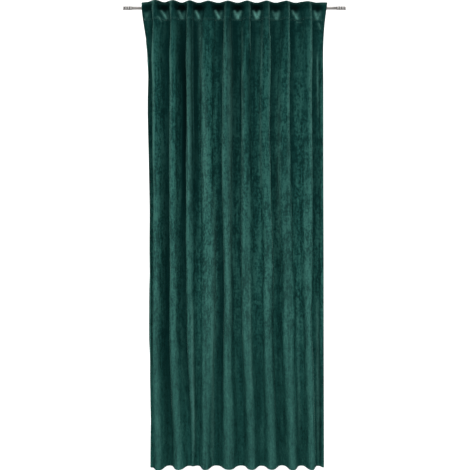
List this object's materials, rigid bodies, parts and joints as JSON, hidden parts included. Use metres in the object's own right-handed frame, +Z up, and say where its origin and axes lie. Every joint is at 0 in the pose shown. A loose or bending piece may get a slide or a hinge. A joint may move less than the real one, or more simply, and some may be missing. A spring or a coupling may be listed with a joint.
{
  "type": "curtain hung on a rod",
  "caption": "Full-length pleated velvet curtain with a stitched heading, hung by sewn back tabs from a thin metal rod with ribbed ends.",
  "frame": {"origin": "middle of the rod's axis, which brackets on a wall or ceiling would hold", "axes": "+X along the rod, to the right seen from the room; +Y from the room to the wall; +Z up. The front of the cloth faces -Y"},
  "size_m": [1.1786, 0.0881, 2.4505],
  "materials": {
    "green_velvet": "dark green velvet with a short pile",
    "green_tab_tape": "woven tape, dark green",
    "satin_steel": "satin"
  },
  "bodies": {
    "root": {"curtain_cloth": "green_velvet", "tab_01": "green_tab_tape", "tab_02": "green_tab_tape", "tab_03": "green_tab_tape", "tab_04": "green_tab_tape", "tab_05": "green_tab_tape", "tab_06": "green_tab_tape", "tab_07": "green_tab_tape", "tab_08": "green_tab_tape", "tab_09": "green_tab_tape", "tab_10": "green_tab_tape", "rod": "satin_steel", "finial_left": "satin_steel", "finial_right": "satin_steel"}
  },
  "joints": []
}
